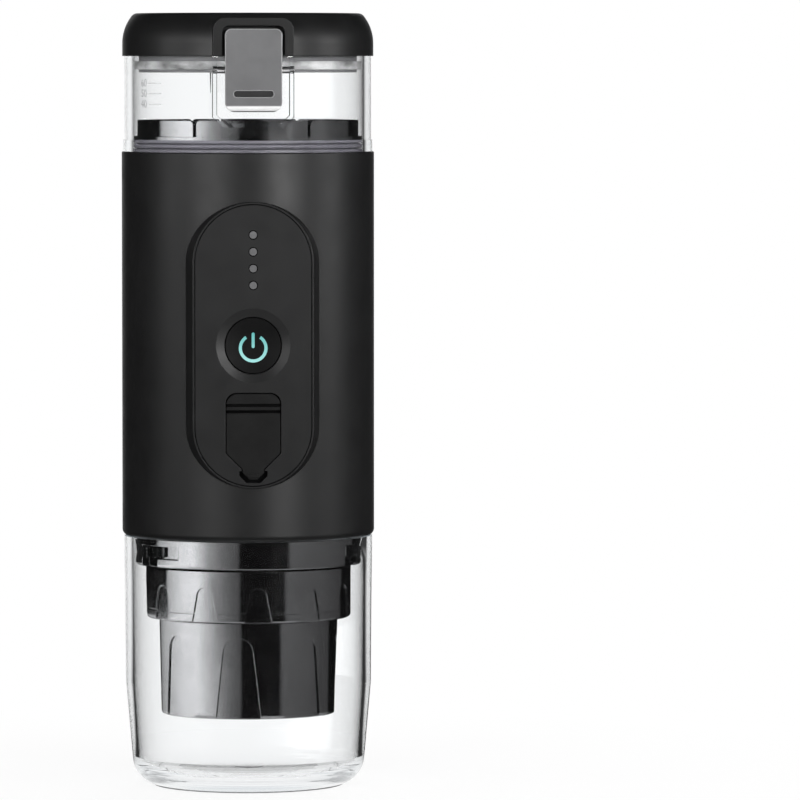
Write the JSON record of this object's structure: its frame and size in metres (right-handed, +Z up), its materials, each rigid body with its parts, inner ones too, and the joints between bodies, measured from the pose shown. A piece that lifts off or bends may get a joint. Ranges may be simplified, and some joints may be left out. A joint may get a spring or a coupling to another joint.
{
  "type": "portable espresso maker",
  "caption": "Hand-held battery espresso maker: clear cup, twist-off fluted brew basket, powered housing, clear water tank and hinged lid with a rocking latch.",
  "frame": {"origin": "middle of the cup's foot on the table", "axes": "+Z up along the body, front with the control panel facing -Y, +X to the viewer's right"},
  "size_m": [0.074, 0.0844, 0.2265],
  "materials": {
    "clear_plastic": "clear polished",
    "black_shell": "fine satin",
    "black_gloss": "gloss",
    "latch_grey": "satin",
    "rubber_black": "matt",
    "silicone_grey": "matt",
    "steel": "plain",
    "brass": "plain",
    "moulding_grey": "matt",
    "board_green": "satin",
    "chip_white": "matt",
    "cell_sleeve": "satin"
  },
  "bodies": {
    "cup": {"cup": "clear_plastic"},
    "main": {"body_shell": "black_shell", "control_panel": "black_shell", "light_guide": "clear_plastic", "flap_anchor": "rubber_black", "usb_port": "steel", "usb_tongue": "black_gloss", "main_board": "board_green", "tact_switch": "moulding_grey", "led_chips": "chip_white", "board_screws": "steel", "chassis": "moulding_grey", "battery_cells": "cell_sleeve", "cell_cap": "moulding_grey", "cap_screws": "steel", "pump_motor": "steel", "gearbox": "black_gloss", "gearbox_cover": "black_gloss", "pump_block": "black_gloss", "pump_plunger": "steel", "outlet_tube": "steel", "inlet_hose": "silicone_grey", "tank_outlet": "black_gloss", "brew_head": "black_gloss", "base_screws": "steel", "shower_screen": "steel", "shower_screw": "steel", "top_deck": "black_gloss", "heater_plate": "steel", "thermal_cutout": "moulding_grey", "splash_ring": "black_gloss", "tank_seal": "silicone_grey", "tank": "clear_plastic", "latch_pin": "steel", "hinge_pin": "steel", "latch_spring": "steel"},
    "lid": {"lid_shell": "black_shell", "lid_liner": "moulding_grey", "lid_gasket": "silicone_grey"},
    "latch": {"latch": "latch_grey"},
    "button": {"power_button": "black_shell"},
    "flap": {"port_flap": "rubber_black"},
    "pinion": {"motor_pinion": "brass"},
    "gear": {"drive_gear": "chip_white"},
    "holder_seal_ring": {"holder_seal": "silicone_grey"},
    "holder": {"brew_collar": "black_gloss"},
    "basket_seal_ring": {"basket_seal": "silicone_grey"},
    "basket": {"coffee_basket": "black_gloss", "basket_filter": "steel"}
  },
  "joints": [
    {"name": "lift_off", "type": "slide", "parent": "cup", "child": "main", "axis": [0, 0, 1], "range_m": [0, 0.08]},
    {"name": "lid_hinge", "type": "hinge", "parent": "main", "child": "lid", "pos_m": [0, 0.0393, 0.212], "axis": [-1, 0, 0], "range_deg": [0, 110]},
    {"name": "latch_rock", "type": "hinge", "parent": "main", "child": "latch", "pos_m": [0, -0.0386, 0.21], "axis": [1, 0, 0], "range_deg": [0, 12], "stiffness_Nm_per_rad": 0.15, "springref_deg": -5.73, "deforming": ["latch_spring"]},
    {"name": "button_press", "type": "slide", "parent": "main", "child": "button", "axis": [0, 1, 0], "range_m": [0, 0.0008], "stiffness_N_per_m": 900, "springref_m": -0.0006},
    {"name": "flap_hinge", "type": "hinge", "parent": "main", "child": "flap", "pos_m": [0, -0.03725, 0.1113], "axis": [-1, 0, 0], "range_deg": [0, 110]},
    {"name": "gear_spin", "type": "hinge", "parent": "main", "child": "gear", "pos_m": [0, 0.0064, 0.0975], "axis": [0, 0, 1], "continuous": true},
    {"name": "pinion_spin", "type": "hinge", "parent": "main", "child": "pinion", "pos_m": [0, -0.008, 0.0975], "axis": [0, 0, 1], "continuous": true},
    {"name": "holder_drop", "type": "slide", "parent": "main", "child": "holder_seal_ring", "axis": [0, 0, -1], "range_m": [0, 0.008]},
    {"name": "holder_twist", "type": "hinge", "parent": "holder_seal_ring", "child": "holder", "pos_m": [0, 0, 0.058], "axis": [0, 0, -1], "range_deg": [0, 240]},
    {"name": "basket_drop", "type": "slide", "parent": "holder", "child": "basket_seal_ring", "axis": [0, 0, -1], "range_m": [0, 0.008]},
    {"name": "basket_twist", "type": "hinge", "parent": "basket_seal_ring", "child": "basket", "pos_m": [0, 0, 0.04], "axis": [0, 0, -1], "range_deg": [0, 240]}
  ],
  "couplings": [
    {"joint": "pinion_spin", "follows": "gear_spin", "ratio": -3},
    {"joint": "holder_drop", "follows": "holder_twist", "m_per_rad": 0.0019},
    {"joint": "basket_drop", "follows": "basket_twist", "m_per_rad": 0.0019}
  ]
}
